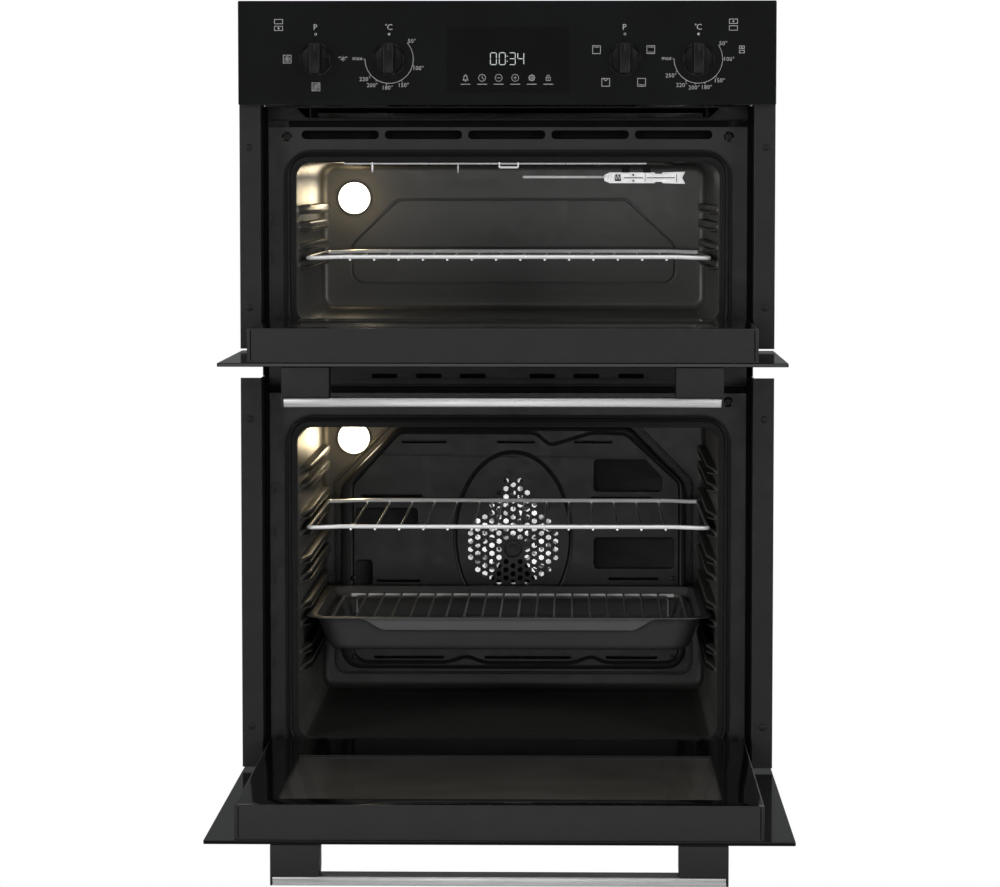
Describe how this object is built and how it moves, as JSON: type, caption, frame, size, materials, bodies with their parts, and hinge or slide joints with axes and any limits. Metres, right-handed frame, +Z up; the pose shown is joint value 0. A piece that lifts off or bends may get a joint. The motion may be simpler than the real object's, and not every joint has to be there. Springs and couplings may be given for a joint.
{
  "type": "built-in double wall oven",
  "caption": "Built-in black double oven: two stacked cavities with drop-down glass doors, wire shelves, a tray with a grid, rotary knobs and a timer panel above.",
  "frame": {"origin": "middle of the cabinet opening's front bottom line: level with the underside of the casing, in the plane of the control panel's front face", "axes": "+X to the viewer's right, +Y into the oven, +Z up"},
  "size_m": [0.594, 0.9899, 0.902],
  "materials": {
    "casing_sheet": "galvanised sheet steel",
    "black_enamel_sheet": "satin black enamel",
    "trim_paint": "satin black paint",
    "cavity_enamel": "easy-clean dark grey enamel",
    "door_seal": "matte black seal",
    "shelf_chrome": "bright chromed wire",
    "element_sheath": "heat-darkened steel tube",
    "lamp_glass": "frosted lamp lens",
    "lamp_ceramic": "white ceramic",
    "phial_steel": "drawn steel",
    "galvanised_sheet": "galvanised sheet",
    "hinge_steel": "zinc-plated steel",
    "black_glass": "polished black glass",
    "inner_glass": "tinted heat-reflective glass",
    "handle_steel": "brushed along its length",
    "bracket_black": "satin black",
    "moulding_black": "matte black moulding",
    "knob_black": "soft satin black",
    "insulation": "mineral wool blanket"
  },
  "bodies": {
    "chassis": {"left_side_panel": "casing_sheet", "right_side_panel": "casing_sheet", "top_cover": "casing_sheet", "back_cover": "casing_sheet", "base_plate": "casing_sheet", "upper_front_frame": "black_enamel_sheet", "lower_front_frame": "black_enamel_sheet", "mid_vent_strip": "black_enamel_sheet", "air_duct": "black_enamel_sheet", "upper_left_trim": "trim_paint", "upper_right_trim": "trim_paint", "lower_left_trim": "trim_paint", "lower_right_trim": "trim_paint", "upper_cavity": "cavity_enamel", "lower_cavity": "cavity_enamel", "fan_baffle": "cavity_enamel", "upper_door_seal": "door_seal", "lower_door_seal": "door_seal", "fan_motor": "galvanised_sheet", "ring_element": "element_sheath", "grill_element": "element_sheath", "base_element": "element_sheath", "upper_lamp_lens": "lamp_glass", "lower_lamp_lens": "lamp_glass", "upper_lamp_holder": "lamp_ceramic", "lower_lamp_holder": "lamp_ceramic", "thermostat_phial": "phial_steel", "phial_bracket": "galvanised_sheet", "upper_left_hinge_arm": "hinge_steel", "upper_right_hinge_arm": "hinge_steel", "lower_left_hinge_arm": "hinge_steel", "lower_right_hinge_arm": "hinge_steel", "control_panel_glass": "black_glass", "panel_chassis": "moulding_black", "timer_module": "moulding_black", "blower_housing": "galvanised_sheet", "terminal_box": "moulding_black", "insulation_wrap": "insulation"},
    "upper_shelf": {"upper_wire_shelf": "shelf_chrome"},
    "lower_shelf": {"lower_wire_shelf": "shelf_chrome"},
    "tray": {"baking_tray": "cavity_enamel"},
    "grid": {"tray_grid": "shelf_chrome"},
    "fan": {"fan_impeller": "galvanised_sheet"},
    "blower": {"blower_rotor": "galvanised_sheet"},
    "upper_door": {"upper_door_glass": "black_glass", "upper_door_pan": "black_enamel_sheet", "upper_inner_glass": "inner_glass", "upper_handle_bar": "handle_steel", "upper_handle_bracket_left": "bracket_black", "upper_handle_bracket_right": "bracket_black"},
    "lower_door": {"lower_door_glass": "black_glass", "lower_door_pan": "black_enamel_sheet", "lower_inner_glass": "inner_glass", "lower_handle_bar": "handle_steel", "lower_handle_bracket_left": "bracket_black", "lower_handle_bracket_right": "bracket_black"},
    "lower_function_control": {"lower_function_knob": "knob_black"},
    "lower_temperature_control": {"lower_temperature_knob": "knob_black"},
    "upper_function_control": {"upper_function_knob": "knob_black"},
    "upper_temperature_control": {"upper_temperature_knob": "knob_black"}
  },
  "joints": [
    {"name": "upper_door_hinge", "type": "hinge", "parent": "chassis", "child": "upper_door", "pos_m": [0, 0.008, 0.505], "axis": [-1, 0, 0], "range_deg": [0, 90]},
    {"name": "lower_door_hinge", "type": "hinge", "parent": "chassis", "child": "lower_door", "pos_m": [0, 0.008, 0.034], "axis": [-1, 0, 0], "range_deg": [0, 90]},
    {"name": "upper_shelf_slide", "type": "slide", "parent": "chassis", "child": "upper_shelf", "axis": [0, 1, 0], "range_m": [-0.25, 0]},
    {"name": "lower_shelf_slide", "type": "slide", "parent": "chassis", "child": "lower_shelf", "axis": [0, 1, 0], "range_m": [-0.25, 0]},
    {"name": "tray_slide", "type": "slide", "parent": "chassis", "child": "tray", "axis": [0, 1, 0], "range_m": [-0.25, 0]},
    {"name": "grid_lift", "type": "slide", "parent": "tray", "child": "grid", "axis": [0, 0, 1], "range_m": [0, 0.05]},
    {"name": "fan_spin", "type": "hinge", "parent": "chassis", "child": "fan", "pos_m": [0, 0.436, 0.24], "axis": [0, 1, 0], "continuous": true},
    {"name": "blower_spin", "type": "hinge", "parent": "chassis", "child": "blower", "pos_m": [0, 0.395, 0.802], "axis": [1, 0, 0], "continuous": true},
    {"name": "lower_function_turn", "type": "hinge", "parent": "chassis", "child": "lower_function_control", "pos_m": [-0.211, 0, 0.824], "axis": [0, 1, 0], "continuous": true},
    {"name": "lower_temperature_turn", "type": "hinge", "parent": "chassis", "child": "lower_temperature_control", "pos_m": [-0.13, 0, 0.824], "axis": [0, 1, 0], "range_deg": [0, 270]},
    {"name": "upper_function_turn", "type": "hinge", "parent": "chassis", "child": "upper_function_control", "pos_m": [0.13, 0, 0.824], "axis": [0, 1, 0], "continuous": true},
    {"name": "upper_temperature_turn", "type": "hinge", "parent": "chassis", "child": "upper_temperature_control", "pos_m": [0.211, 0, 0.824], "axis": [0, 1, 0], "range_deg": [0, 270]}
  ]
}
